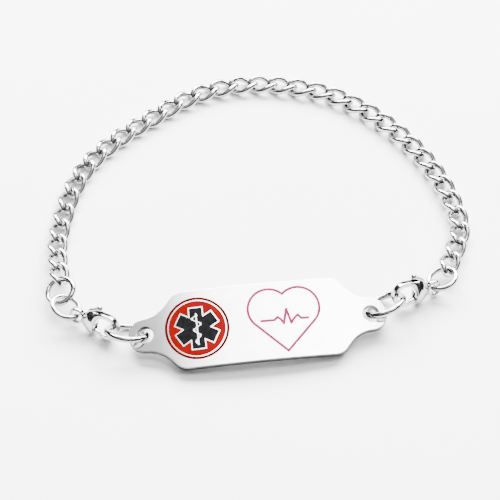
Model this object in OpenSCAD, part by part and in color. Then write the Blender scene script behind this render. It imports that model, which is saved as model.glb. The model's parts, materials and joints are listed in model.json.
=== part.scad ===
// Medical identification bracelet: an engraved and enamelled plate, held by two
// jump rings and two lobster clasps on a flat curb chain, lying closed on a surface.
// Frame: origin at the middle of the wrist opening, on the surface, +Z up,
// +X along the plate to the right, +Y from the plate to the far side of the loop.

/* [Plate] */
// Length of the plate over its two ears
plate_len = 42; // [38:0.5:46]
// Width of the plate
plate_w = 13; // [12:0.1:15]
// Thickness of the plate
plate_t = 1.4; // [1.2:0.05:1.8]
// Radius of the plate's slight bow along its length
bow_r = 120; // [90:5:200]
// Length of the stretch at full width
full_len = 23.6; // [22:0.2:25]
// Radius of the rounded shoulders
shoulder_r = 2.6; // [2:0.1:3]
// Radius of the hollow necks beside the ears
neck_r = 5.4; // [4:0.1:6]
// Slope of the sides between shoulder and neck
shoulder_slope = 50; // [45:1:52]
// Radius of the ears
ear_r = 2.75; // [2.5:0.05:3.1]
// Diameter of the hole in each ear
hole_d = 2.7; // [2.6:0.05:3]
// Turn of the plate on the surface
plate_yaw = 6.7; // [3:0.1:10]
// Tilt of the plate, its far edge raised
plate_tilt = 18; // [16:0.5:22]
// Distance from the origin to the plate's middle, towards the front
plate_front = 25.8; // [24:0.1:27.5]
// Distance from the origin to the plate's middle, towards the right
plate_side = 0.4; // [-1.5:0.1:2]

/* [Enamel emblem] */
// Diameter of the emblem
emblem_d = 10.4; // [9.2:0.1:10.8]
// Distance from the plate's middle to the emblem's middle
emblem_off = 9.9; // [9:0.1:11]
// Width of the outer enamel line
rim_line = 0.4; // [0.25:0.01:0.45]
// Width of the bare steel ring inside it
rim_gap = 0.21; // [0.18:0.01:0.4]
// Width of the arms of the star
star_arm = 2.05; // [1.9:0.05:2.4]
// Distance from the star's middle to the ends of its arms
star_reach = 3.4; // [3.3:0.05:3.7]
// Width of the steel line round the star
star_line = 0.2; // [0.18:0.01:0.35]
// Height of the staff in the star
staff_h = 5.6; // [5:0.1:6.2]
// Width of the staff
staff_w = 0.2; // [0.18:0.01:0.35]
// Swing of the serpent to each side of the staff
serpent_swing = 0.68; // [0.5:0.01:0.7]
// Width of the serpent
serpent_w = 0.34; // [0.28:0.01:0.42]
// Depth of the enamel beds
enamel_depth = 0.4; // [0.2:0.05:0.5]
// Gap between an enamel or paint fill and the steel round it
fill_gap = 0.02; // [0.01:0.01:0.03]

/* [Engraved heart and pulse line] */
// Width of the heart
heart_w = 11.6; // [10:0.1:12]
// Distance from the plate's middle to the heart's middle
heart_off = 4.2; // [4:0.1:5]
// Width of the engraved lines
engraved_w = 0.4; // [0.25:0.01:0.42]
// Depth of the engraved lines
engraved_depth = 0.22; // [0.15:0.01:0.35]
// Length of the pulse line
pulse_len = 7.6; // [6.6:0.1:7.8]
// Height of the pulse line's tallest peak
pulse_h = 2.4; // [1.8:0.1:2.6]

/* [Plate rings] */
// Outer diameter of the rings through the plate
plate_ring_d = 7.5; // [7.2:0.05:7.8]
// Wire diameter of the plate rings
plate_ring_wire = 1.05; // [0.95:0.01:1.1]
// Slope of the plate rings, their near side raised
plate_ring_slope = 36; // [34:1:40]
// How far the ring's wire sits past the middle of the plate's hole
hole_play = 0.12; // [0.05:0.01:0.2]
// Direction in which the left plate ring leaves the plate
left_ring_dir = 168; // [164:1:172]
// Direction in which the right plate ring leaves the plate
right_ring_dir = 40; // [37:1:43]
// Turn along the left plate ring from its tip down to the clasp
left_clasp_turn = 8; // [5:1:10]
// Turn along the right plate ring from its tip up to the clasp
right_clasp_turn = 12; // [9:1:14]

/* [Lobster clasps] */
// Length of a clasp over its eye and hook
clasp_len = 9.1; // [8.9:0.1:9.8]
// Height of a clasp without its thumb tab
clasp_h = 4.4; // [4.2:0.05:4.7]
// Thickness of a clasp at its middle
clasp_t = 2.6; // [2.4:0.05:2.8]
// Diameter of the eye
eye_d = 2.8; // [2.7:0.05:3]
// Diameter of the hole in the eye
eye_hole_d = 1.8; // [1.75:0.01:1.9]
// Thickness of the eye
eye_t = 1; // [0.9:0.05:1.2]
// Width of the hook's arm
hook_arm = 0.78; // [0.65:0.01:0.85]
// Length of the mouth inside the hook
mouth_len = 3.3; // [3.1:0.05:3.5]
// Thickness of the lever
lever_t = 0.8; // [0.7:0.02:0.9]
// Gap between the lever and the sides of its slot
lever_gap = 0.1; // [0.08:0.01:0.14]
// Diameter of the lever's pin
pin_d = 0.7; // [0.6:0.02:0.76]
// Running clearance of the lever on its pin, on the radius
pin_play = 0.05; // [0.03:0.01:0.08]
// Diameter of the knob on the thumb tab
knob_d = 0.9; // [0.8:0.05:1.1]
// Distance from the lever's pin to the knob, along the clasp
knob_reach = 1.2; // [1:0.05:1.4]
// Height of the knob above the clasp's back
knob_rise = 0.2; // [0.1:0.05:0.35]
// Opening angle of the lever
lever_open = 20; // [16:1:21]
// Radius of the body's swell across the clasp
swell_side_r = 3.8; // [3.4:0.1:4.4]
// Radius of the body's swell along the clasp
swell_long_r = 18; // [15:0.5:24]
// Lean of the clasps from upright, away from the viewer
clasp_lean = 22; // [16:1:26]
// Slope of the left clasp, its hook higher than its eye
left_clasp_rise = 2.5; // [1:0.5:4]
// Slope of the right clasp, its hook higher than its eye
right_clasp_rise = 12; // [10:0.5:14]
// Direction from the left clasp's eye to its hook
left_clasp_dir = -27; // [-31:1:-23]
// Direction from the right clasp's eye to its hook
right_clasp_dir = 204; // [200:1:208]

/* [Chain rings] */
// Outer diameter of the rings at the chain's ends
chain_ring_d = 5.5; // [5.3:0.05:5.9]
// Wire diameter of the chain rings
chain_ring_wire = 0.9; // [0.8:0.01:0.94]
// Direction from the left clasp's eye to the middle of its ring
left_eye_dir = 148; // [143:1:153]
// Direction from the right clasp's eye to the middle of its ring
right_eye_dir = 46; // [41:1:51]
// Direction from the left chain ring to the extra ring beyond it
extra_ring_dir = 108; // [102:1:114]
// Direction from the extra ring to the chain's first link
left_end_dir = 97; // [92:1:102]
// Direction from the right chain ring to the chain's last link
right_end_dir = 66; // [60:1:72]
// Roll of the left chain ring, its left side raised
left_chain_ring_roll = 21; // [19:1:23]
// Roll of the extra ring, its right side raised
extra_ring_roll = 22; // [20:1:24]
// Roll of the right chain ring, its right side raised
right_chain_ring_roll = 20; // [17:1:23]

/* [Curb chain] */
// Wire diameter of the curb links
link_wire = 0.9; // [0.8:0.01:0.92]
// Length of a curb link
link_len = 5.5; // [5.4:0.02:5.7]
// Width of a curb link
link_w = 3.7; // [3.6:0.02:3.9]
// Twist of a link from its middle to each end
link_twist = 50; // [47:1:54]
// Roll of the links at the chain's two ends
end_link_roll = 14; // [11:1:16]
// Smallest gap between neighbouring pieces
gap = 0.1; // [0.06:0.01:0.12]

/* [Hidden] */
// Chosen route of the chain between its two end rings
route = [[-33.1, -9.3], [-32.7, -3.4], [-31.2, 3.8], [-28.3, 10.3], [-23.4, 15.9], [-18.1, 20.3],
         [-12.6, 24.4], [-7, 27.1], [-0.5, 28.2], [6.3, 27.7], [12.8, 25.9], [18.4, 22.6],
         [23.4, 18.2], [27.9, 12.6], [31.2, 6.6], [33.4, 0.4], [34, -5.4]];
// Segments along a curb link's wire, and sides round it
link_segments = 16;
wire_sides = 6;
// Steps between two points of the route
route_steps = 10;
// Links over which the end links' roll fades out
roll_links = 8;
// Steps along one side of a curved outline
outline_steps = 14;
$fn = 48;

// Rotates a vector about the X, then the Y, then the Z axis
function turn_x(v, a) = [v.x, v.y * cos(a) - v.z * sin(a), v.y * sin(a) + v.z * cos(a)];
function turn_y(v, a) = [v.x * cos(a) + v.z * sin(a), v.y, v.z * cos(a) - v.x * sin(a)];
function turn_z(v, a) = [v.x * cos(a) - v.y * sin(a), v.x * sin(a) + v.y * cos(a), v.z];
function turn(v, r) = turn_z(turn_y(turn_x(v, r.x), r.y), r.z);
// Level direction at an angle on the surface
function level(a) = [cos(a), sin(a), 0];

// Plate: its slope and drop at a distance from its middle, on a bow about the Y axis
hole_x = plate_len / 2 - ear_r;
function bow_slope(x) = asin(x / bow_r);
function bow_drop(x) = bow_r * (1 - cos(bow_slope(x)));
plate_rot = [plate_tilt, 0, plate_yaw];
// Height of the plate's middle where its near edge rests on the surface, or where its rings do
plate_ring_r = (plate_ring_d - plate_ring_wire) / 2;
plate_ring_z = plate_ring_r * sin(plate_ring_slope) + plate_ring_wire / 2;
edge_rest_z = plate_w / 2 * sin(plate_tilt) + (plate_t / 2 + bow_drop(full_len / 2)) * cos(plate_tilt);
ring_rest_z = plate_ring_z + bow_drop(hole_x) * cos(plate_tilt);
plate_pos = [plate_side, -plate_front, max(edge_rest_z, ring_rest_z)];
function hole_pos(side) = plate_pos + turn([side * hole_x, 0, -bow_drop(hole_x)], plate_rot);

// Emblem radii, from outside in
rim_ro = emblem_d / 2;
rim_ri = rim_ro - rim_line;
field_r = rim_ri - rim_gap;

// Plate rings: side is -1 on the left and 1 on the right
function ring_dir(side) = side < 0 ? left_ring_dir : right_ring_dir;
function plate_ring_rot(side) = [-side * plate_ring_slope, 0, ring_dir(side)];
function plate_ring_pos(side) = hole_pos(side) + (plate_ring_r - hole_play) * level(ring_dir(side));
// Where the ring's wire passes through the clasp's mouth
function clasp_turn(side) = side < 0 ? -left_clasp_turn : -right_clasp_turn;
function clasp_seat(side) =
    plate_ring_pos(side) + turn(plate_ring_r * level(clasp_turn(side)), plate_ring_rot(side));

// Clasp, in its own frame: eye at the origin, hook towards +X, thumb tab on the +Y side
hook_ro = clasp_h / 2;
mouth_r = hook_ro - hook_arm;
hook_x = clasp_len - eye_d / 2 - hook_ro;
mouth_x = hook_x + mouth_r - mouth_len;
neck_x = eye_d * 0.3;
jaw_wall = 0.2;
belly_x = mouth_x - jaw_wall;
seat_slack = mouth_r - plate_ring_wire / 2;
left_seat = [0.38, -0.3] * seat_slack;
right_seat = [0.63, -0.18] * seat_slack;

// Lever: a hub on the pin, a gate from it to the slanted tip of the hook, and a thumb tab
hub_wall = 0.32;
hub_r = pin_d / 2 + pin_play + hub_wall;
mouth_wall = 0.23;
pin_drop = 0.1;
pivot = [mouth_x - hub_r - mouth_wall, -pin_drop];
gate_r = 0.36;
gate_root_r = 0.62;
gate_root = [pivot.x + hub_r * 0.42, lever_gap + gate_root_r - hook_ro];
tip_angle = 42;
tip_along = [cos(tip_angle), sin(tip_angle)];
tip_out = [-sin(tip_angle), cos(tip_angle)];
hook_tip = [hook_x - hook_arm, gate_r - hook_ro];
gate_end = hook_tip - gate_r / 2 * tip_along + (gate_r + 1.3 * gap) * tip_out;
tab_root_r = 0.3;
tab_root = [pivot.x - 0.76 * hub_r, hook_ro - 1.5 * tab_root_r];
tab_end_r = knob_d / 4;
knob_pos = [pivot.x + knob_reach, hook_ro + knob_rise + knob_d / 2];
// Where the tab's root comes to when the lever is open
open_root = pivot + [for (v = [turn_z([tab_root.x - pivot.x, tab_root.y - pivot.y, 0], lever_open)])
    each [v.x, v.y]];
function clasp_rot(side) = side < 0 ? [90 - clasp_lean, -left_clasp_rise, left_clasp_dir]
                                    : [90 + clasp_lean, -right_clasp_rise, right_clasp_dir];
function clasp_pos(side) = let (seat = side < 0 ? left_seat : right_seat)
    clasp_seat(side) - turn([hook_x + seat.x, seat.y, 0], clasp_rot(side));

// Chain rings
chain_ring_r = (chain_ring_d - chain_ring_wire) / 2;
ring_link = 2 * chain_ring_r - chain_ring_wire - 3 * gap;
function eye_dir(side) = side < 0 ? left_eye_dir : right_eye_dir;
function chain_ring_rot(side) = side < 0 ? [left_chain_ring_roll, 0, extra_ring_dir]
                                         : [-right_chain_ring_roll, 0, right_end_dir];
function chain_ring_pos(side) = clasp_pos(side)
    + turn(chain_ring_r * level(eye_dir(side) - chain_ring_rot(side).z), chain_ring_rot(side));
extra_pos = chain_ring_pos(-1) + ring_link * level(extra_ring_dir);
extra_rot = [-extra_ring_roll, 0, extra_ring_dir];

// Chain: the links' centres follow a smooth curve through the route's points
link_a = (link_len - link_wire) / 2;
link_b = (link_w - link_wire) / 2;
// Height of a link's centre where it rests on the surface with some roll
function rest_z(roll) = link_wire / 2 + gap / 4
    + link_b * max([for (t = [0 : 5 : 90]) sin(t) * sin(link_twist * cos(t) + abs(roll))]);
link_z = rest_z(0);
hook_in = link_a - (link_wire + chain_ring_wire) / 2 - 2 * gap;
start_point = extra_pos + turn(chain_ring_r * level(left_end_dir - extra_ring_dir), extra_rot);
end_point = chain_ring_pos(1) + chain_ring_r * level(right_end_dir);
// How far a point of the route is lifted, a number of steps before an end ring
function lift(end, steps) = (end.z - link_z) * 0.32 * pow(0.2, steps);
way = concat([start_point], [for (i = [0 : len(route) - 1]) [route[i].x, route[i].y,
    link_z + lift(start_point, i) + lift(end_point, len(route) - 1 - i)]], [end_point]);
function spline(a, b, c, d, t) =
    b + (c - a) * t / 2 + (2 * a - 5 * b + 4 * c - d) * t * t / 2
    + (3 * b - a - 3 * c + d) * t * t * t / 2;
last = len(way) - 1;
line = [for (i = [0 : last - 1]) for (k = [0 : route_steps - (i == last - 1 ? 0 : 1)])
    spline(way[max(i - 1, 0)], way[i], way[i + 1], way[min(i + 2, last)], k / route_steps)];
reach = [for (i = 0, s = 0; i < len(line);
    s = s + (i + 1 < len(line) ? norm(line[i + 1] - line[i]) : 0), i = i + 1) s];
table_x = [for (i = [0 : len(line) - 1]) [reach[i], line[i].x]];
table_y = [for (i = [0 : len(line) - 1]) [reach[i], line[i].y]];
table_z = [for (i = [0 : len(line) - 1]) [reach[i], line[i].z]];
function along(s) = [lookup(s, table_x), lookup(s, table_y), lookup(s, table_z)];
chain_run = reach[len(line) - 1] - 2 * hook_in;
pitch_max = 2 * link_a - link_wire - 2.4 * gap;
link_count = ceil(chain_run / pitch_max) + 1;
pitch = chain_run / (link_count - 1);
function link_roll(i) =
    end_link_roll * (max(0, 1 - (i - 1) / roll_links) - max(0, 1 - (link_count - i) / roll_links));
function link_name(i) = str("chain_link_", i < 10 ? "0" : "", i);

// Sets its children at a point, turned about X, then Y, then Z
module place(p, r) {
    translate(p) rotate(r) children();
}

// Round wire ring in the XY plane
module wire_ring(mean_r, wire) {
    rotate_extrude($fn = 72) translate([mean_r, 0]) circle(d = wire, $fn = 32);
}

// Outline of one end of the plate, upper half, from the full width to the ear's tip
function arc(c, r, a0, a1, n) = [for (i = [0 : n]) c + r * [cos(a0 + (a1 - a0) * i / n),
                                                           sin(a0 + (a1 - a0) * i / n)]];
shoulder_c = [full_len / 2, plate_w / 2 - shoulder_r];
side_dir = [cos(shoulder_slope), -sin(shoulder_slope)];
side_out = [sin(shoulder_slope), cos(shoulder_slope)];
side_start = shoulder_c + shoulder_r * side_out;
neck_q = side_start + neck_r * side_out - [hole_x, 0];
neck_run = -neck_q * side_dir
    - sqrt(pow(neck_q * side_dir, 2) - neck_q * neck_q + pow(ear_r + neck_r, 2));
neck_c = side_start + neck_run * side_dir + neck_r * side_out;
neck_angle = atan2(neck_c.y, neck_c.x - hole_x);
quarter = concat(
    arc(shoulder_c, shoulder_r, 90, 90 - shoulder_slope, 6),
    arc(neck_c, neck_r, 270 - shoulder_slope, 180 + neck_angle, 8),
    arc([hole_x, 0], ear_r, neck_angle, 0, 12));

module plate_outline() {
    half = concat(quarter, [for (i = [len(quarter) - 2 : -1 : 0]) [quarter[i].x, -quarter[i].y]]);
    polygon(concat(half, [for (i = [len(half) - 1 : -1 : 0]) [-half[i].x, half[i].y]]));
}

// A stroke of even width along a list of points, with round joints
module stroke(points, width) {
    for (i = [0 : len(points) - 2]) {
        run = points[i + 1] - points[i];
        translate(points[i]) rotate(atan2(run.y, run.x)) translate([0, -width / 2])
            square([norm(run), width]);
    }
    for (p = points) translate(p) circle(d = width, $fn = 16);
}

// Six arms crossed at the middle, each grown by an amount
module star(grow) {
    for (a = [0, 60, 120]) rotate(a)
        square([star_arm + 2 * grow, 2 * (star_reach + grow)], center = true);
}

// Serpent winding up a staff, the common sign of medicine
serpent_points = [for (i = [0 : 24]) let (t = i / 24)
    [-serpent_swing * (0.45 + 0.75 * t) * sin(t * 900), staff_h * (t * 0.86 - 0.46)]];
module staff_and_serpent(grow) {
    square([staff_w + 2 * grow, staff_h + 2 * grow], center = true);
    stroke(serpent_points, serpent_w + 2 * grow);
    translate(serpent_points[24]) circle(d = serpent_w * 1.6 + 2 * grow, $fn = 20);
}

// Heart of a square on its corner and a round lobe on each upper side, grown by an amount
module heart(grow) {
    side = heart_w / (1 + sqrt(0.5));
    half_h = side * (1 + 3 * sqrt(0.5)) / 4;
    translate([0, -half_h]) rotate(45) difference() {
        union() {
            translate([-grow, -grow]) square(side + grow);
            translate([side, side / 2]) circle(r = side / 2 + grow, $fn = 72);
            translate([side / 2, side]) circle(r = side / 2 + grow, $fn = 72);
        }
        if (grow < 0) translate([side, side]) circle(r = -grow, $fn = 24);
    }
}

module heart_line(width) {
    difference() {
        heart(width / 2);
        heart(-width / 2);
    }
}

// Pulse line: shares of its length and of its tallest peak
pulse_table = [[-0.5, 0], [-0.22, 0], [-0.15, 0.2], [-0.08, 0], [-0.03, -0.28], [0.05, 0.72],
               [0.13, -0.28], [0.19, 0], [0.28, 0.26], [0.35, 0], [0.5, 0]];
module pulse_line(width) {
    stroke([for (p = pulse_table) [p.x * pulse_len, p.y * pulse_h]], width);
}

// Bowed sheet between two heights above the plate's middle surface
module bowed_sheet(low, high) {
    translate([0, 0, -bow_r]) rotate([90, 0, 0]) difference() {
        cylinder(r = bow_r + high, h = 2 * plate_w, center = true, $fn = 1440);
        cylinder(r = bow_r + low, h = 3 * plate_w, center = true, $fn = 1440);
    }
}

// Sets its children on the bow at a distance from the plate's middle
module on_bow(x) {
    translate([x, 0, -bow_drop(x)]) rotate([0, bow_slope(x), 0]) children();
}

// A flat shape sunk from the plate's face to a depth, in the plate's frame
module sunk(x, depth, below = 0, above = 0) {
    intersection() {
        on_bow(x) linear_extrude(3 * plate_t, center = true) children();
        bowed_sheet(plate_t / 2 - depth - below, plate_t / 2 + above);
    }
}

module id_plate() {
    color([0.9, 0.9, 0.9]) place(plate_pos, plate_rot) difference() {
        intersection() {
            linear_extrude(plate_w, center = true) plate_outline();
            bowed_sheet(-plate_t / 2, plate_t / 2);
        }
        for (side = [-1, 1]) on_bow(side * hole_x) cylinder(d = hole_d, h = 3 * plate_t, center = true);
        sunk(-emblem_off, enamel_depth, fill_gap, 1) difference() {
            circle(r = rim_ro + fill_gap, $fn = 96);
            circle(r = rim_ri - fill_gap, $fn = 96);
        }
        sunk(-emblem_off, enamel_depth, fill_gap, 1) difference() {
            circle(r = field_r + fill_gap, $fn = 96);
            star(star_line - fill_gap);
        }
        sunk(-emblem_off, enamel_depth, fill_gap, 1) difference() {
            star(fill_gap);
            staff_and_serpent(-fill_gap);
        }
        sunk(heart_off, engraved_depth, fill_gap, 1) heart_line(engraved_w + 2 * fill_gap);
        sunk(heart_off, engraved_depth, fill_gap, 1) pulse_line(engraved_w + 2 * fill_gap);
    }
}

module dark_red_enamel_rim() {
    color([0.6, 0.03, 0.05]) place(plate_pos, plate_rot) sunk(-emblem_off, enamel_depth)
        difference() {
            circle(r = rim_ro, $fn = 96);
            circle(r = rim_ri, $fn = 96);
        }
}

module red_enamel_field() {
    color([0.87, 0.02, 0.04]) place(plate_pos, plate_rot) sunk(-emblem_off, enamel_depth)
        difference() {
            circle(r = field_r, $fn = 96);
            star(star_line);
        }
}

module black_enamel_star() {
    color([0.15, 0.15, 0.16]) place(plate_pos, plate_rot) sunk(-emblem_off, enamel_depth)
        difference() {
            star(0);
            staff_and_serpent(0);
        }
}

module heart_line_fill() {
    color([0.78, 0.2, 0.36]) place(plate_pos, plate_rot)
        sunk(heart_off, engraved_depth) heart_line(engraved_w);
}

module pulse_line_fill() {
    color([0.78, 0.2, 0.36]) place(plate_pos, plate_rot)
        sunk(heart_off, engraved_depth) pulse_line(engraved_w);
}

module plate_ring(side) {
    color([0.85, 0.85, 0.87]) place(plate_ring_pos(side), plate_ring_rot(side))
        wire_ring(plate_ring_r, plate_ring_wire);
}

// Half width of the clasp's body at a share of the way from neck to belly
function body_half(t) = eye_d * 0.36 + (hook_ro - eye_d * 0.36) * sin(90 * pow(t, 0.8));
body_side = [for (i = [0 : outline_steps]) let (t = i / outline_steps)
    [neck_x + (belly_x - neck_x) * t, body_half(t)]];

// Flat outline of the clasp without its eye: body, hook and mouth
module clasp_outline() {
    difference() {
        union() {
            polygon(concat(body_side,
                [for (i = [outline_steps : -1 : 0]) [body_side[i].x, -body_side[i].y]]));
            translate([belly_x - jaw_wall, -hook_ro]) square([hook_x - belly_x + jaw_wall, clasp_h]);
            translate([hook_x, 0]) circle(r = hook_ro, $fn = 96);
        }
        translate([hook_x, 0]) circle(r = mouth_r, $fn = 72);
        translate([mouth_x + mouth_r, 0]) circle(r = mouth_r, $fn = 72);
        translate([mouth_x + mouth_r, -mouth_r]) square([mouth_len - 2 * mouth_r, 2 * mouth_r]);
        gate_gap();
    }
}

// Break in the hook's lower arm, from the body to the slanted tip
module gate_gap() {
    low = -1.2 * hook_ro;
    polygon([[mouth_x + jaw_wall / 2, -0.6 * mouth_r], [mouth_x - jaw_wall / 2, low],
             hook_tip + (low - hook_tip.y) / tip_along.y * tip_along,
             hook_tip + hook_ro * tip_along]);
}

// The clasp's body swells to its full thickness at the middle
module clasp_swell() {
    intersection_for (side = [-1, 1]) intersection() {
        translate([0, 0, side * (swell_side_r - clasp_t / 2)]) rotate([0, 90, 0])
            cylinder(r = swell_side_r, h = 3 * clasp_len, center = true, $fn = 96);
        translate([pivot.x, 0, side * (swell_long_r - clasp_t / 2)]) sphere(r = swell_long_r, $fn = 96);
    }
}

// Flat bar between two round ends of different size
module bar(p, p_r, q, q_r) {
    run = q - p;
    dir = atan2(run.y, run.x);
    lean = acos((p_r - q_r) / norm(run));
    polygon(concat(arc(p, p_r, dir + lean, dir + 360 - lean, 10), arc(q, q_r, dir - lean, dir + lean, 8)));
}

// Room in the body for the lever through its swing, and for a thumb's tip under the tab
module lever_slot() {
    slot_t = lever_t + 2 * lever_gap;
    back_x = open_root.x - tab_root_r - lever_gap;
    root_x = gate_root.x - gate_root_r - 2 * lever_gap;
    jaw_x = mouth_x + 1.5 * jaw_wall;
    knob_x = knob_pos.x + knob_d / 2;
    translate([0, 0, -slot_t / 2]) linear_extrude(slot_t) union() {
        polygon([[back_x, clasp_h], [back_x, open_root.y - tab_root_r],
                 pivot - [hub_r + lever_gap / 2, 0], pivot - hub_r * [1, 0.5],
                 [root_x, gate_root.y], [root_x, -clasp_h], [jaw_x, -clasp_h],
                 [jaw_x, -mouth_r / 8], pivot + hub_r * [0.9, 0.4],
                 [pivot.x + hub_r / 2, hook_ro - 3 * tab_root_r], [jaw_x, hook_ro - tab_root_r],
                 [knob_x, hook_ro], [knob_x, clasp_h]]);
        translate(pivot) circle(r = hub_r + lever_gap, $fn = 48);
    }
}

module clasp_body(side) {
    color([0.82, 0.83, 0.85]) place(clasp_pos(side), clasp_rot(side)) difference() {
        union() {
            intersection() {
                translate([0, 0, -clasp_t]) linear_extrude(2 * clasp_t) clasp_outline();
                clasp_swell();
            }
            cylinder(d = eye_d, h = eye_t, center = true);
        }
        cylinder(d = eye_hole_d, h = 2 * clasp_t, center = true);
        lever_slot();
        translate(pivot) cylinder(d = pin_d + 2 * fill_gap, h = 2 * clasp_t, center = true);
    }
}

// Lever in one flat piece: gate, hub and thumb tab, with a round knob
module clasp_lever(side) {
    color([0.8, 0.81, 0.83]) place(clasp_pos(side), clasp_rot(side)) union() {
        difference() {
            translate([0, 0, -lever_t / 2]) linear_extrude(lever_t) union() {
                translate(pivot) circle(r = hub_r, $fn = 48);
                bar(pivot, hub_r - lever_gap, gate_root, gate_root_r);
                bar(gate_root, gate_root_r, gate_end, gate_r);
                bar(pivot, hub_r - lever_gap, tab_root, tab_root_r);
                bar(tab_root, tab_root_r, knob_pos, tab_end_r);
            }
            translate(pivot) cylinder(d = pin_d + 2 * pin_play, h = 2 * clasp_t, center = true);
        }
        translate(knob_pos) sphere(d = knob_d, $fn = 32);
    }
}

module clasp_pin(side) {
    color([0.75, 0.76, 0.78]) place(clasp_pos(side), clasp_rot(side))
        translate(pivot) cylinder(d = pin_d, h = clasp_t - gap, center = true);
}

module chain_ring(side) {
    color([0.85, 0.85, 0.87]) place(chain_ring_pos(side), chain_ring_rot(side))
        wire_ring(chain_ring_r, chain_ring_wire);
}

module left_extra_ring() {
    color([0.85, 0.85, 0.87]) place(extra_pos, extra_rot)
        wire_ring(chain_ring_r, chain_ring_wire);
}

// Centre line of a curb link: an oval whose two ends are twisted about its long axis
function link_line(t) = let (x = link_a * cos(t), y = link_b * sin(t), f = -link_twist * x / link_a)
    [x, y * cos(f), y * sin(f)];
function unit(v) = v / norm(v);
// Point on the wire's skin: t runs along the wire and u round it
function link_skin(t, u) =
    let (c = link_line(t), d = unit(link_line(t + 2) - link_line(t - 2)),
         n = unit(cross(d, unit([0, 0, 1] + 0.001 * d))), m = cross(n, d))
    c + link_wire / 2 * (cos(u) * n + sin(u) * m);

module curb_link() {
    n = link_segments;
    k = wire_sides;
    skin = [for (i = [0 : n - 1]) for (j = [0 : k - 1]) link_skin(i * 360 / n, (j + 0.5) * 360 / k)];
    quads = [for (i = [0 : n - 1]) for (j = [0 : k - 1])
        [i * k + j, i * k + (j + 1) % k, ((i + 1) % n) * k + (j + 1) % k, ((i + 1) % n) * k + j]];
    triangles = [for (q = quads) each [[q[0], q[1], q[2]], [q[0], q[2], q[3]]]];
    polyhedron(skin, triangles);
}

module chain_link(i) {
    s = hook_in + (i - 1) * pitch;
    run = along(s + pitch / 2) - along(s - pitch / 2);
    slope = -atan2(run.z, norm([run.x, run.y]));
    c = along(s);
    color([0.84, 0.85, 0.87])
        place([c.x, c.y, max(c.z, rest_z(link_roll(i)))], [link_roll(i), slope, atan2(run.y, run.x)])
            curb_link();
}

id_plate();
dark_red_enamel_rim();
red_enamel_field();
black_enamel_star();
heart_line_fill();
pulse_line_fill();
plate_ring(-1);  // left_plate_ring
plate_ring(1);  // right_plate_ring
clasp_body(-1);  // left_clasp_body
clasp_lever(-1);  // left_clasp_lever
clasp_pin(-1);  // left_clasp_pin
clasp_body(1);  // right_clasp_body
clasp_lever(1);  // right_clasp_lever
clasp_pin(1);  // right_clasp_pin
chain_ring(-1);  // left_chain_ring
chain_ring(1);  // right_chain_ring
left_extra_ring();
for (i = [1 : link_count])
    chain_link(i);
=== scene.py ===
# Looks of the medical identification bracelet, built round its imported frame, in metres
import json
import bmesh
import bpy
import numpy as np
from mathutils import Euler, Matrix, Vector


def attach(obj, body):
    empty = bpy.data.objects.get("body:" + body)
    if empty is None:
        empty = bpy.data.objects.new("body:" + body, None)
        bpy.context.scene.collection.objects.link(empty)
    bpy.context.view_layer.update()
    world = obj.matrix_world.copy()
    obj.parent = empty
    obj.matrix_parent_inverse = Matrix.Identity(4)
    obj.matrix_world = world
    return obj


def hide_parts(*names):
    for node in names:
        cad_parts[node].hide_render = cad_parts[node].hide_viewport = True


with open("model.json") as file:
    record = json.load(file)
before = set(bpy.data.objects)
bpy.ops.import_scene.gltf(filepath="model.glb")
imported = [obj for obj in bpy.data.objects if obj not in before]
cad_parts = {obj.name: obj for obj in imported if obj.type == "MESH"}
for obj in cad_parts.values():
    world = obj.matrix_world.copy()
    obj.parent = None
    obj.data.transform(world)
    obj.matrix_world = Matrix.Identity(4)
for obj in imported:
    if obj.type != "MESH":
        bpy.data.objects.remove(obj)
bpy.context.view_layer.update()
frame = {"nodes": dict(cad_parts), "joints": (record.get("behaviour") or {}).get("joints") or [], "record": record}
mm = 0.001
samePoint = 1e-7  # points nearer to each other than this are merged
print("frame loaded:", len(frame["nodes"]), "nodes")

# Camera: looks down on the bracelet from the front. Target and distance in mm, elevation in degrees, and
# the focal length in pixels of a square picture
shot = dict(target=(-1.0, -8.0, 0.0), elevation=52.0, distance=380.0, focalPixels=2275.7,
            picturePixels=500, sensorWidth=36.0)
tilt = np.radians(shot["elevation"])
towards = np.array([0, -np.cos(tilt), np.sin(tilt)])
camData = bpy.data.cameras.new("camera")
camData.sensor_width = shot["sensorWidth"]
camData.lens = shot["focalPixels"] / shot["picturePixels"] * shot["sensorWidth"]
camera = bpy.data.objects.new("camera", camData)
camera.location = mm * (np.array(shot["target"]) + shot["distance"] * towards)
camera.rotation_euler = (np.pi / 2 - tilt, 0, 0)
bpy.context.scene.collection.objects.link(camera)
bpy.context.scene.camera = camera
print("camera placed")


# One property of all of a mesh's points, faces or corners, as an array
def readArray(items, label, width=1, kind=np.float32):
    values = np.zeros(len(items) * width, kind)
    items.foreach_get(label, values)
    return values.reshape(-1, width) if width > 1 else values


# Mesh of a grid of points: each row is a closed ring, quads join neighbouring rows, and the first and last
# rings are capped unless the rows wrap round
def gridMesh(name, rows, wrapRows=False):
    m, n = rows.shape[:2]
    i = np.arange(m if wrapRows else m - 1)[:, None]
    j = np.arange(n)[None, :]
    corners = (i * n + j, i * n + (j + 1) % n, (i + 1) % m * n + (j + 1) % n, (i + 1) % m * n + j)
    faces = np.stack(np.broadcast_arrays(*corners), -1).reshape(-1, 4).tolist()
    if not wrapRows:
        faces += [list(range(n))[::-1], list(range((m - 1) * n, m * n))]
    mesh = bpy.data.meshes.new(name)
    mesh.from_pydata(rows.reshape(-1, 3).tolist(), [], faces)
    bm = bmesh.new()
    bm.from_mesh(mesh)
    bmesh.ops.remove_doubles(bm, verts=bm.verts, dist=samePoint)
    bmesh.ops.recalc_face_normals(bm, faces=bm.faces)
    bm.to_mesh(mesh)
    bm.free()
    mesh.shade_smooth()
    return mesh


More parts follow.
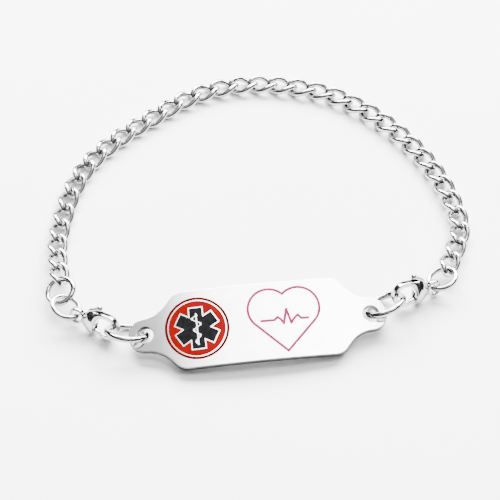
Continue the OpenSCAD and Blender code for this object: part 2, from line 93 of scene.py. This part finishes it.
def joinMeshes(meshes, name):
    bm = bmesh.new()
    for mesh in meshes:
        bm.from_mesh(mesh)
    joined = bpy.data.meshes.new(name)
    bm.to_mesh(joined)
    bm.free()
    return joined


# The mesh less a cutter's solid. Where faces meet at more than an angle, the edge stays sharp
def cutMesh(mesh, cutter, sharpAngle):
    objects = [bpy.data.objects.new("cut", part) for part in (mesh, cutter)]
    for thing in objects:
        bpy.context.scene.collection.objects.link(thing)
    cut = objects[0].modifiers.new("cut", "BOOLEAN")
    cut.operation = "DIFFERENCE"
    cut.solver = "EXACT"
    cut.object = objects[1]
    done = bpy.data.meshes.new_from_object(objects[0].evaluated_get(bpy.context.evaluated_depsgraph_get()))
    for thing in objects:
        bpy.data.objects.remove(thing)
    done.shade_smooth()
    done.set_sharp_from_angle(angle=np.radians(sharpAngle))
    return done


# Smooth curve through a table's rows: between rows b and c, a cubic in t from 0 to 1, whose slope at each
# row is half the step between that row's neighbours, a to c and b to d
def smoothRows(table, count):
    p = np.vstack([2 * table[0] - table[1], table, 2 * table[-1] - table[-2]])
    s = np.linspace(0, len(table) - 1, count)
    i = np.minimum(s.astype(int), len(table) - 2)
    t = (s - i)[:, None]
    a, b, c, d = p[i], p[i + 1], p[i + 2], p[i + 3]
    bend = 2 * a - 5 * b + 4 * c - d
    twist = 3 * b - a - 3 * c + d
    return b + (c - a) * t / 2 + bend * t ** 2 / 2 + twist * t ** 3 / 2


# Loft of flat sections, each from a lower to an upper point in the XY plane and to a half thickness along
# Z: its ring is a superellipse, |w|^p + |z|^p = 1, whose power p grows from round to square
def loftRows(lower, upper, half, power, steps):
    u = np.linspace(0, 2 * np.pi, steps, endpoint=False) + np.pi / steps
    wide = np.sign(np.cos(u)) * np.abs(np.cos(u)) ** (2 / power[:, None])
    thick = np.sign(np.sin(u)) * np.abs(np.sin(u)) ** (2 / power[:, None]) * half[:, None]
    flat = (lower + upper)[:, None] / 2 + wide[:, :, None] * (upper - lower)[:, None] / 2
    return np.concatenate([flat, thick[:, :, None]], -1)


# A solid's separate points
def nodePoints(name):
    points = readArray(frame["nodes"][name].data.vertices, "co", 3)
    return np.unique(np.round(points.astype(float), 8), axis=0)


# Centre and right-handed axes of a cloud of points, from its longest direction to its shortest: the
# directions in which the points spread most, and the middle of their reach along each
def principalAxes(points):
    centre = points.mean(0)
    axes = np.linalg.eigh(np.cov((points - centre).T))[1].T[::-1]
    axes[2] = np.cross(axes[0], axes[1])
    spans = (points - centre) @ axes.T
    centre = centre + (spans.min(0) + spans.max(0)) / 2 @ axes
    return centre, axes


# Inputs of a shader node, by name or number: a socket is linked, and a value is set
def feed(tree, node, inputs):
    for place, value in inputs.items():
        if isinstance(value, bpy.types.NodeSocket):
            tree.links.new(value, node.inputs[place])
        else:
            node.inputs[place].default_value = value


def addNode(tree, kind, inputs, **settings):
    node = tree.nodes.new(kind)
    for setting, value in settings.items():
        setattr(node, setting, value)
    feed(tree, node, inputs)
    return node


# A new material with its node tree and its one shader
def newMaterial(name):
    material = bpy.data.materials.new(name)
    material.use_nodes = True
    tree = material.node_tree
    tree.nodes.clear()
    shader = addNode(tree, "ShaderNodeBsdfPrincipled", {})
    addNode(tree, "ShaderNodeOutputMaterial", {"Surface": shader.outputs["BSDF"]})
    return material, tree, shader


# Noise on object coordinates: size is a feature's width in metres, and stretch lengthens it along X. turn
# rotates the noise beneath, in radians, which gives another pattern with the same stretch
def noiseOf(tree, size, detail=3.0, stretch=1, turn=0.0):
    place = addNode(tree, "ShaderNodeTexCoord", {})
    mapping = addNode(tree, "ShaderNodeMapping", {
        "Vector": place.outputs["Object"], "Scale": (1 / stretch, 1, 1), "Rotation": (0, 0, turn)})
    noise = addNode(tree, "ShaderNodeTexNoise", {
        "Vector": mapping.outputs["Vector"], "Scale": 1 / size, "Detail": detail})
    return noise.outputs["Fac"]


# A noise's middle range as a number from low to high
def spread(tree, value, low, high, middle=(0.3, 0.7)):
    ranger = addNode(tree, "ShaderNodeMapRange", {
        "Value": value, "From Min": middle[0], "From Max": middle[1], "To Min": low, "To Max": high})
    return ranger.outputs["Result"]


# Colours by a value, through stops that each hold a position and a colour
def rampOf(tree, value, stops):
    ramp = addNode(tree, "ShaderNodeValToRGB", {"Fac": value})
    elements = ramp.color_ramp.elements
    while len(elements) < len(stops):
        elements.new(0.5)
    for element, (position, colour) in zip(elements, stops):
        element.position = position
        element.color = (*colour, 1)
    return ramp.outputs["Color"]


# A noise's middle range as a colour from dark to light
def toneOf(tree, value, dark, light, middle=(0.35, 0.65)):
    return rampOf(tree, value, [(middle[0], dark), (middle[1], light)])


def bumpOf(tree, height, strength, depth):
    bump = addNode(tree, "ShaderNodeBump", {"Height": height, "Strength": strength, "Distance": depth})
    return bump.outputs["Normal"]


# Polished steel: a faint cloudy tone, uneven gloss and fine polishing lines. Widths and depth in mm
steelGrain = dict(cloud=2.5, line=0.06, lineDetail=2.0, lineDepth=0.002)


def polishedSteel(name, dark, light, smooth, rough, lineLength, lineTurn, lineStrength):
    material, tree, shader = newMaterial(name)
    cloud = noiseOf(tree, steelGrain["cloud"] * mm)
    lines = noiseOf(tree, steelGrain["line"] * mm, steelGrain["lineDetail"], lineLength, lineTurn)
    feed(tree, shader, {
        "Metallic": 1.0,
        "Base Color": toneOf(tree, cloud, dark, light),
        "Roughness": spread(tree, lines, smooth, rough),
        "Normal": bumpOf(tree, lines, lineStrength, steelGrain["lineDepth"] * mm)})
    return material


# Fired enamel: a smooth fill with slight mottling, a faint gloss and a gently uneven skin. Widths and depth
# in mm
enamelSkin = dict(ior=1.5, gloss=0.03, mottleDetail=4.0, patch=0.3, patchRoughness=0.12, ripple=0.5,
                  rippleStrength=0.15, rippleDepth=0.03)


def enamel(name, dark, light, roughness, mottle):
    c = enamelSkin
    material, tree, shader = newMaterial(name)
    tone = noiseOf(tree, mottle * mm, c["mottleDetail"])
    patches = noiseOf(tree, c["patch"] * mm)
    ripples = noiseOf(tree, c["ripple"] * mm)
    feed(tree, shader, {
        "IOR": c["ior"],
        "Specular IOR Level": c["gloss"],
        "Base Color": toneOf(tree, tone, dark, light),
        "Roughness": spread(tree, patches, roughness, roughness + c["patchRoughness"]),
        "Normal": bumpOf(tree, ripples, c["rippleStrength"], c["rippleDepth"] * mm)})
    return material


# Steels by material slot: the tones of their clouds, least and greatest roughness, and the polishing lines'
# length against their width, turn of their noise in radians, and strength
steels = {
    "plate_steel": dict(dark=(0.80, 0.80, 0.80), light=(0.88, 0.88, 0.88), smooth=0.10, rough=0.17,
                        lineLength=30, lineTurn=0.12, lineStrength=0.10),
    "ring_steel": dict(dark=(0.36, 0.36, 0.37), light=(0.44, 0.44, 0.45), smooth=0.05, rough=0.12,
                       lineLength=8, lineTurn=0.5, lineStrength=0.15),
    "clasp_steel": dict(dark=(0.38, 0.38, 0.39), light=(0.46, 0.46, 0.47), smooth=0.08, rough=0.15,
                        lineLength=6, lineTurn=0.9, lineStrength=0.15),
    "chain_steel": dict(dark=(0.41, 0.41, 0.42), light=(0.49, 0.49, 0.50), smooth=0.05, rough=0.12,
                        lineLength=8, lineTurn=0.2, lineStrength=0.15)}
# Enamels and paint by material slot: the tones of their mottling, least roughness, and the mottling's width
# in mm
enamels = {
    "dark_red_enamel": dict(dark=(0.055, 0.0, 0.0), light=(0.07, 0.0, 0.001), roughness=0.2, mottle=1.2),
    "red_enamel": dict(dark=(0.13, 0.0, 0.0), light=(0.16, 0.0, 0.0005), roughness=0.2, mottle=1.5),
    "black_enamel": dict(dark=(0.003, 0.003, 0.0035), light=(0.007, 0.007, 0.008), roughness=0.25,
                         mottle=0.7),
    "raspberry_paint": dict(dark=(0.19, 0.01, 0.05), light=(0.24, 0.015, 0.068), roughness=0.35,
                            mottle=0.8)}
finishOf = {}
for slotName, choice in steels.items():
    finishOf[slotName] = polishedSteel(slotName.replace("_", " "), **choice)
for slotName, choice in enamels.items():
    finishOf[slotName] = enamel(slotName.replace("_", " "), **choice)

# Every solid takes its slot's finish, also one that a piece made below stands in for
for part in frame["record"]["subparts"]:
    coats = frame["nodes"][part["node"]].data.materials
    coats.clear()
    coats.append(finishOf[part["material_slot"]])
print("finishes made:", len(finishOf))


# A piece to be seen: it has its slot's finish, takes the place of some solids and moves with a body
def addPiece(name, mesh, slotName, nodes, body="bracelet"):
    piece = bpy.data.objects.new(name, mesh)
    bpy.context.scene.collection.objects.link(piece)
    mesh.materials.append(finishOf[slotName])
    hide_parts(*nodes)
    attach(piece, body)


# Plate: a merged copy of its solid with rounded outer and hole edges, while the edges of the beds stay
# sharp. turn: degrees about X, Y and Z. Lengths in mm
plateShape = dict(
    turn=(18.0, 0.0, 6.7), middle=(0.4, -25.8), bowRadius=120.0, thickness=1.4, rounding=0.13, roundSteps=4,
    wallLean=0.3, wallShare=0.9,  # how far a wall leans, as a cosine, and its least share of the thickness
    sharpAngle=30.0,
    faceCosine=0.997, edgeCosine=0.5,  # of the angle to the bow: of a face that follows it, and of its edge
    shadeAndDullFrom=0.92, shadeAndDullTo=0.42,  # of the same angle, where the walls' painted shade and dull finish start and are full
    # The walls' and back's colour is painted shade; their roughness is a duller finish
    paintedShadeColour=(0.10, 0.10, 0.105), dullRoughness=0.3)


# Even shading of the bowed faces: their normals are those of a cylinder about the plate's Y direction, so
# at a distance x along the plate they lean by the arcsine of x over the bow's radius
def bowNormals(mesh, c):
    along, up = np.array(Euler(np.radians(c["turn"])).to_matrix()).T[[0, 2]]
    points = readArray(mesh.vertices, "co", 3)
    faceNormals = readArray(mesh.polygons, "normal", 3)
    counts = readArray(mesh.polygons, "loop_total", kind=np.int32)
    owners = readArray(mesh.loops, "vertex_index", kind=np.int32)
    corners = readArray(mesh.corner_normals, "vector", 3)
    flat = np.repeat(faceNormals, counts, axis=0)
    offset = points[owners] - mm * np.array([*c["middle"], 0])
    lean = np.arcsin(offset @ along / (mm * c["bowRadius"]))[:, None]
    bow = (np.sin(lean) * along + np.cos(lean) * up) * np.sign(flat @ up)[:, None]
    match = (flat * bow).sum(1)
    onFace = np.zeros(len(points), bool)
    onFace[owners[match > c["faceCosine"]]] = True
    even = (match > c["faceCosine"]) | (onFace[owners] & (match > c["edgeCosine"]))
    corners[even] = bow[even]
    mesh.normals_split_custom_set(corners.tolist())
    # side grows from 0 on the front to 1 on the walls and the back: there the steel is duller and its colour is
    # painted dark, as shade
    firstCorner = np.cumsum(counts) - counts
    side = np.clip((c["shadeAndDullFrom"] - match[firstCorner]) / (c["shadeAndDullFrom"] - c["shadeAndDullTo"]), 0, 1)
    side[faceNormals @ up < 0] = 1
    mesh.attributes.new("side", "FLOAT", "FACE").data.foreach_set("value", side.astype(np.float32))


def roundedPlate(c):
    bm = bmesh.new()
    bm.from_mesh(frame["nodes"]["id_plate"].data)
    bmesh.ops.remove_doubles(bm, verts=bm.verts, dist=samePoint)
    up = Euler(np.radians(c["turn"])).to_matrix().col[2]
    leastHeight = c["wallShare"] * c["thickness"] * mm
    walls = set()
    for face in bm.faces:
        heights = [v.co.dot(up) for v in face.verts]
        if abs(face.normal.dot(up)) < c["wallLean"] and max(heights) - min(heights) > leastHeight:
            walls.add(face)
    rim = [e for e in bm.edges if sum(f in walls for f in e.link_faces) == 1]
    bmesh.ops.bevel(bm, geom=rim, offset=c["rounding"] * mm, segments=c["roundSteps"], profile=0.5,
                    affect="EDGES")
    mesh = bpy.data.meshes.new("rounded plate")
    bm.to_mesh(mesh)
    bm.free()
    if "custom_normal" in mesh.attributes:  # the solid's stored normals no longer fit
        mesh.attributes.remove(mesh.attributes["custom_normal"])
    mesh.shade_smooth()
    mesh.set_sharp_from_angle(angle=np.radians(c["sharpAngle"]))
    bowNormals(mesh, c)
    return mesh


# The plate's walls and back are duller than its front, and their colour is painted dark as shade: the mesh's side
# attribute mixes the two.
# The numbers are the Mix node's sockets for a colour and for a number: first, second and result
def shadeAndDullWalls(material, c):
    tree = material.node_tree
    shader = next(n for n in tree.nodes if n.type == "BSDF_PRINCIPLED")
    side = addNode(tree, "ShaderNodeAttribute", {}, attribute_name="side").outputs["Fac"]
    # A dark colour on the walls and back paints shade; a higher roughness dulls them
    for place, kind, first, second, result, shadeAndDull in (
            ("Base Color", "RGBA", 6, 7, 2, (*c["paintedShadeColour"], 1)),
            ("Roughness", "FLOAT", 2, 3, 0, c["dullRoughness"])):
        bright = shader.inputs[place].links[0].from_socket
        blend = addNode(tree, "ShaderNodeMix", {"Factor": side, first: bright, second: shadeAndDull}, data_type=kind)
        tree.links.new(blend.outputs[result], shader.inputs[place])


shadeAndDullWalls(finishOf["plate_steel"], plateShape)
addPiece("rounded_id_plate", roundedPlate(plateShape), "plate_steel", ["id_plate"])
print("plate made")

# Curb chain: wire, length and width in mm, twist in degrees
curb = dict(wire=0.94, length=5.56, width=3.74, twist=50.0, stepsAlong=96, stepsRound=20)


# A curb link: its round wire follows an oval, x = a cos t and y = b sin t, whose y is turned about the long
# axis by an angle that grows with x to the full twist at each end
def curbLink(centre, axes, c):
    a, b = (c["length"] - c["wire"]) / 2 * mm, (c["width"] - c["wire"]) / 2 * mm
    t = np.linspace(0, 2 * np.pi, c["stepsAlong"], endpoint=False)
    turn = -np.radians(c["twist"]) * np.cos(t)
    line = np.stack([a * np.cos(t), b * np.sin(t) * np.cos(turn), b * np.sin(t) * np.sin(turn)], -1)
    ahead = np.roll(line, -1, 0) - np.roll(line, 1, 0)
    ahead /= np.linalg.norm(ahead, axis=1, keepdims=True)
    side = np.cross(ahead, [0, 0, 1.0])
    side /= np.linalg.norm(side, axis=1, keepdims=True)
    up = np.cross(side, ahead)
    u = np.linspace(0, 2 * np.pi, c["stepsRound"], endpoint=False)[:, None]
    r = c["wire"] / 2 * mm
    skin = line[:, None] + r * (np.cos(u) * side[:, None] + np.sin(u) * up[:, None])
    return centre + skin @ axes


linkNames = sorted(n for n in frame["nodes"] if n.startswith("chain_link_"))
for linkName in linkNames:
    skin = curbLink(*principalAxes(nodePoints(linkName)), curb)
    link = gridMesh(linkName, skin, wrapRows=True)
    addPiece(linkName.replace("chain", "curb"), link, "chain_steel", [linkName])
print("curb chain made:", len(linkNames), "links")

# Jump rings: the direction, seen from each ring's centre, of the seam where the wire's ends meet
ringSeams = {
    "left_plate_ring": (0.2, -1.0, 0.3),
    "right_plate_ring": (0.3, -1.0, 0.3),
    "left_chain_ring": (-1.0, -0.3, 0.0),
    "right_chain_ring": (1.0, 0.1, 0.0),
    "left_extra_ring": (-1.0, 0.6, 0.0)}
# The seam's gap and the rounding of its ends in mm. endSteps: shares of the rounding that have a section
ringShape = dict(seamGap=0.035, endRound=0.06, endSteps=(0, 0.1, 0.3, 0.6), stepsAlong=160, stepsRound=28)


# A round wire bent to a circle about the ring's centre, as wide and thick as its solid. The wire's radius
# falls off as a quarter circle over a short stretch at each end, where it was cut
def jumpRing(points, seam, c):
    centre, axes = principalAxes(points)
    spans = (points - centre) @ axes.T
    wireR = (spans[:, 2].max() - spans[:, 2].min()) / 2
    bendR = np.hypot(spans[:, 0], spans[:, 1]).max() - wireR
    start = np.arctan2(np.dot(seam, axes[1]), np.dot(seam, axes[0]))
    gap, edge = c["seamGap"] * mm / 2 / bendR, c["endRound"] * mm / bendR
    ends = gap + edge * np.array(c["endSteps"])
    t = np.concatenate([ends, np.linspace(gap + edge, 2 * np.pi - gap - edge, c["stepsAlong"]),
                        2 * np.pi - ends[::-1]])
    fromEnd = np.minimum(t - gap, 2 * np.pi - gap - t) / edge
    r = wireR - c["endRound"] * mm * (1 - np.sqrt(1 - (1 - np.clip(fromEnd, 0, 1)) ** 2))
    u = np.linspace(0, 2 * np.pi, c["stepsRound"], endpoint=False)
    out = bendR + r[:, None] * np.cos(u)
    angle = start + t[:, None]
    skin = np.stack([out * np.cos(angle), out * np.sin(angle), r[:, None] * np.sin(u)], -1)
    return centre + skin @ axes


for ringName, seam in ringSeams.items():
    skin = jumpRing(nodePoints(ringName), np.array(seam), ringShape)
    addPiece("wire_" + ringName, gridMesh(ringName, skin), "ring_steel", [ringName])
print("jump rings made:", len(ringSeams))

# Lobster clasps: how each is turned, in degrees about X, then Y, then Z
claspTurns = dict(left=(68.0, -2.5, -27.0), right=(112.0, -12.0, 204.0))
# Their shape, in mm in the clasp's own plane: the eye is at the origin, the hook lies towards +X and the
# thumb tab on the +Y side
claspShape = dict(
    pivot=(2.67, -0.1), eyeOuter=1.4, eyeHole=0.9, eyeHalf=0.5, eyeSquareness=0.75, eyeSteps=(72, 24),
    # columns: lower edge x, y, upper edge x, y, half thickness, power of the section
    body=[(1.00, -0.72, 1.00, 0.72, 0.42, 2.2),
          (1.40, -1.16, 1.38, 1.16, 0.70, 2.2),
          (1.95, -1.64, 1.90, 1.64, 1.04, 2.2),
          (2.55, -2.02, 2.40, 2.00, 1.27, 2.2),
          (3.10, -2.18, 2.78, 2.14, 1.31, 2.3),
          (3.48, -2.06, 3.00, 2.19, 1.28, 2.5),
          (3.63, -1.50, 3.14, 2.20, 1.18, 2.8),
          (3.64, -0.60, 3.28, 2.20, 1.04, 3.0),
          (3.68, 0.25, 3.46, 2.20, 0.90, 3.2),
          (3.95, 0.92, 3.82, 2.20, 0.77, 3.6),
          (4.45, 1.31, 4.40, 2.20, 0.66, 4.4),
          (4.98, 1.42, 4.98, 2.20, 0.60, 5.5)],
    # hook: two arcs about one middle, from straight above it round to their ends, in degrees
    hookMiddle=(5.5, 0.0), hookInner=1.42, hookOuter=2.2, innerEnd=-101.3, outerEnd=-115.4,
    hookHalf=0.57, hookPower=6.0, hookEase=1 / 6,  # reached after this share of its length
    tipRound=0.1, tipAngles=(30, 60, 80),  # sections of the rounded tip, by their angle on it in degrees
    # the lever's slot: half width, the least angle of an edge that stays sharp, and outline
    slotHalf=0.5, sharpAngle=32.0,
    slot=[(1.12, 4.4), (1.12, 1.15), (1.90, -0.1), (2.15, -1.3), (2.15, -4.4), (3.92, -4.4), (3.92, -0.18),
          (3.32, 0.19), (3.03, 1.3), (3.92, 1.9), (4.32, 2.2), (4.32, 4.4)],
    # columns: middle x, y, half width, half thickness, power of the section
    lever=[(4.57, -1.64, 0.10, 0.12, 2.5),
           (4.48, -1.63, 0.28, 0.32, 3.0),
           (4.26, -1.60, 0.36, 0.39, 3.5),
           (3.75, -1.56, 0.45, 0.40, 4.0),
           (3.15, -1.48, 0.55, 0.40, 4.0),
           (2.80, -1.10, 0.60, 0.40, 4.0),
           (2.67, -0.10, 0.60, 0.40, 4.0),
           (2.40, 0.80, 0.45, 0.40, 4.0),
           (2.20, 1.45, 0.34, 0.40, 4.0),
           (2.32, 1.90, 0.34, 0.40, 4.0),
           (2.80, 2.20, 0.32, 0.42, 3.6),
           (3.35, 2.53, 0.30, 0.45, 3.2),
           (3.87, 2.85, 0.26, 0.40, 3.0)],
    knob=(3.87, 2.85), knobR=0.52, knobLatitude=89, knobSteps=(20, 32),
    bodySteps=72, hookSteps=96, leverSteps=90, ringSteps=44)


# Body and hook as one loft: the body's table of sections, then the hook's band between two arcs about one
# middle, which ends in a short rounding
def claspBodyRows(c):
    body = smoothRows(np.array(c["body"]), c["bodySteps"])
    lower, upper, half, power = body[:, :2], body[:, 2:4], body[:, 4], body[:, 5]
    s = np.linspace(0, 1, c["hookSteps"])[1:]
    arcs = [np.radians(90 + s * (end - 90)) for end in (c["innerEnd"], c["outerEnd"])]
    inner, outer = [np.array(c["hookMiddle"]) + r * np.stack([np.cos(a), np.sin(a)], -1)
                    for r, a in zip((c["hookInner"], c["hookOuter"]), arcs)]
    middle, span = (inner[-1] + outer[-1]) / 2, (outer[-1] - inner[-1]) / 2
    onward = np.array([span[1], -span[0]]) / np.linalg.norm(span)
    e = np.sin(np.radians(c["tipAngles"]))[:, None]
    shrink = np.sqrt(1 - e ** 2) * c["tipRound"] + 1 - c["tipRound"] * 2
    tip = middle + c["tipRound"] * e * onward
    lower = np.vstack([lower, inner, tip - shrink * span])
    upper = np.vstack([upper, outer, tip + shrink * span])
    ease = np.clip(np.linspace(0, 1, len(s) + len(e)) / c["hookEase"], 0, 1)
    half = np.concatenate([half, half[-1] + ease * (c["hookHalf"] - half[-1])])
    half[-len(e):] *= shrink[:, 0]
    power = np.concatenate([power, power[-1] + ease * (c["hookPower"] - power[-1])])
    return loftRows(lower, upper, half, power, c["ringSteps"])


# The lever's section is carried along its middle line, square to it
def leverRows(c):
    table = smoothRows(np.array(c["lever"]), c["leverSteps"])
    middle, wide, half, power = table[:, :2], table[:, 2:3], table[:, 3], table[:, 4]
    ahead = np.gradient(middle, axis=0)
    ahead /= np.linalg.norm(ahead, axis=1, keepdims=True)
    side = np.stack([-ahead[:, 1], ahead[:, 0]], -1)
    return loftRows(middle - wide * side, middle + wide * side, half, power, c["ringSteps"])


# Ring of squarish section: the sine and cosine of the section's angle, each to a power below 1, are carried
# round a circle
def eyeRows(c):
    mean, half = (c["eyeOuter"] + c["eyeHole"]) / 2, (c["eyeOuter"] - c["eyeHole"]) / 2
    t = np.linspace(0, 2 * np.pi, c["eyeSteps"][0], endpoint=False)[:, None]
    u = np.linspace(0, 2 * np.pi, c["eyeSteps"][1], endpoint=False)
    out = mean + half * np.sign(np.cos(u)) * np.abs(np.cos(u)) ** c["eyeSquareness"]
    up = c["eyeHalf"] * np.sign(np.sin(u)) * np.abs(np.sin(u)) ** c["eyeSquareness"]
    return np.stack([out * np.cos(t), out * np.sin(t), np.broadcast_to(up, c["eyeSteps"])], -1)


# Ball by latitude and longitude, from close to one pole to close to the other
def knobRows(c):
    v = np.radians(np.linspace(-c["knobLatitude"], c["knobLatitude"], c["knobSteps"][0]))[:, None]
    u = np.linspace(0, 2 * np.pi, c["knobSteps"][1], endpoint=False)
    x = c["knob"][0] + c["knobR"] * np.cos(v) * np.cos(u)
    y = c["knob"][1] + c["knobR"] * np.cos(v) * np.sin(u)
    return np.stack([x, y, np.broadcast_to(c["knobR"] * np.sin(v), x.shape)], -1)


# Prism: the slot's outline at a half width below and above the clasp's plane
def slotRows(c):
    flat = np.array(c["slot"])
    return np.stack([np.column_stack([flat, np.full(len(flat), z)]) for z in (-c["slotHalf"], c["slotHalf"])])


# A clasp's shape in its place: turned, with its pivot on the lever's hinge
def placedMesh(name, rows, turn, hinge, wrapRows=False):
    origin = hinge - mm * turn @ np.array([*claspShape["pivot"], 0])
    return gridMesh(name, origin + mm * rows @ turn.T, wrapRows)


for side, degrees in claspTurns.items():
    turn = np.array(Euler(np.radians(degrees)).to_matrix())
    hinge = np.array(next(j["pos_m"] for j in frame["joints"] if j["name"] == side + "_lever_hinge"))
    solid = placedMesh(side + " body", claspBodyRows(claspShape), turn, hinge)
    slot = placedMesh(side + " slot", slotRows(claspShape), turn, hinge)
    eye = placedMesh(side + " eye", eyeRows(claspShape), turn, hinge, wrapRows=True)
    body = joinMeshes([cutMesh(solid, slot, claspShape["sharpAngle"]), eye], side + " clasp body")
    addPiece("smooth_" + side + "_clasp_body", body, "clasp_steel", [side + "_clasp_body"])
    arm = placedMesh(side + " arm", leverRows(claspShape), turn, hinge)
    knob = placedMesh(side + " knob", knobRows(claspShape), turn, hinge)
    lever = joinMeshes([arm, knob], side + " clasp lever")
    addPiece("smooth_" + side + "_clasp_lever", lever, "clasp_steel", [side + "_clasp_lever"],
             side + "_lever")
print("clasps made:", len(claspTurns))

# White table: half width in m, height and patches in mm, and the tones of its patches
table = dict(halfWidth=1.5, height=-0.02, patch=40.0, dark=(0.93, 0.93, 0.93), light=(0.95, 0.95, 0.95),
             roughness=0.9, gloss=0.1)
tableMesh = bpy.data.meshes.new("floor")
tableMesh.from_pydata([(x * table["halfWidth"], y * table["halfWidth"], table["height"] * mm)
                       for x, y in ((-1, -1), (1, -1), (1, 1), (-1, 1))], [], [(0, 1, 2, 3)])
tablePaint, tree, shader = newMaterial("white table")
feed(tree, shader, {
    "Base Color": toneOf(tree, noiseOf(tree, table["patch"] * mm), table["dark"], table["light"]),
    "Roughness": table["roughness"],
    "Specular IOR Level": table["gloss"]})
tableMesh.materials.append(tablePaint)
floor = bpy.data.objects.new("floor", tableMesh)
bpy.context.scene.collection.objects.link(floor)
print("table laid")

# Softbox behind the bracelet, in m and W
softbox = dict(place=(0.05, 0.48, 0.42), target=(0, -0.008, 0), size=(0.9, 0.45), power=60.0)
lampData = bpy.data.lights.new("back softbox", "AREA")
lampData.shape = "RECTANGLE"
lampData.size, lampData.size_y = softbox["size"]
lampData.energy = softbox["power"]
lamp = bpy.data.objects.new("back softbox", lampData)
lamp.location = softbox["place"]
aim = Vector(softbox["target"]) - Vector(softbox["place"])
lamp.rotation_euler = aim.to_track_quat("-Z", "Y").to_euler()
bpy.context.scene.collection.objects.link(lamp)

# Surroundings: dark round the horizon, pale above, and one large bright panel overhead. room: a tone for
# each height of a direction, from the horizon (0) to straight up (1). The panel is an oval seen from below:
# its middle and half widths across, the shares of them where its soft edge starts and ends, its light, by
# how much that grows to the right, and the height that it stays above
studio = dict(room=[(0.0, 0.03), (0.42, 0.06), (0.62, 0.16), (0.82, 0.8), (1.0, 1.0)],
              panelMiddle=(0.14, 0.06), panelHalf=(0.34, 0.24), panelEdge=(1.15, 0.6), panelLight=10.0,
              panelLean=1.45, panelLowest=0.1)
world = bpy.data.worlds.new("studio")
world.use_nodes = True
bpy.context.scene.world = world
sky = world.node_tree
sky.nodes.clear()
direction = addNode(sky, "ShaderNodeTexCoord", {}).outputs["Generated"]
split = addNode(sky, "ShaderNodeSeparateXYZ", {"Vector": direction})
roomStops = [(height, (tone, tone, tone)) for height, tone in studio["room"]]
room = rampOf(sky, split.outputs["Z"], roomStops)
halfX, halfY = studio["panelHalf"]
middleX, middleY = studio["panelMiddle"]
across = addNode(sky, "ShaderNodeVectorMath", {
    0: direction, 1: (1 / halfX, 1 / halfY, 0), 2: (-middleX / halfX, -middleY / halfY, 0)},
    operation="MULTIPLY_ADD")
reach = addNode(sky, "ShaderNodeVectorMath", {0: across.outputs["Vector"]}, operation="LENGTH")
panel = addNode(sky, "ShaderNodeMapRange", {
    "Value": reach.outputs["Value"], "From Min": studio["panelEdge"][0], "From Max": studio["panelEdge"][1],
    "To Max": studio["panelLight"]}, interpolation_type="SMOOTHSTEP")
above = addNode(sky, "ShaderNodeMath", {0: split.outputs["Z"], 1: studio["panelLowest"]},
                operation="GREATER_THAN")
lean = addNode(sky, "ShaderNodeMath", {0: split.outputs["X"], 1: studio["panelLean"], 2: 1.0},
               operation="MULTIPLY_ADD")
shone = addNode(sky, "ShaderNodeMath", {0: lean.outputs["Value"], 1: panel.outputs["Result"]},
                operation="MULTIPLY")
light = addNode(sky, "ShaderNodeMath", {0: shone.outputs["Value"], 1: above.outputs["Value"], 2: room},
                operation="MULTIPLY_ADD")
background = addNode(sky, "ShaderNodeBackground", {
    "Color": (1, 1, 1, 1), "Strength": light.outputs["Value"]})
addNode(sky, "ShaderNodeOutputWorld", {"Surface": background.outputs["Background"]})
print("studio lit")
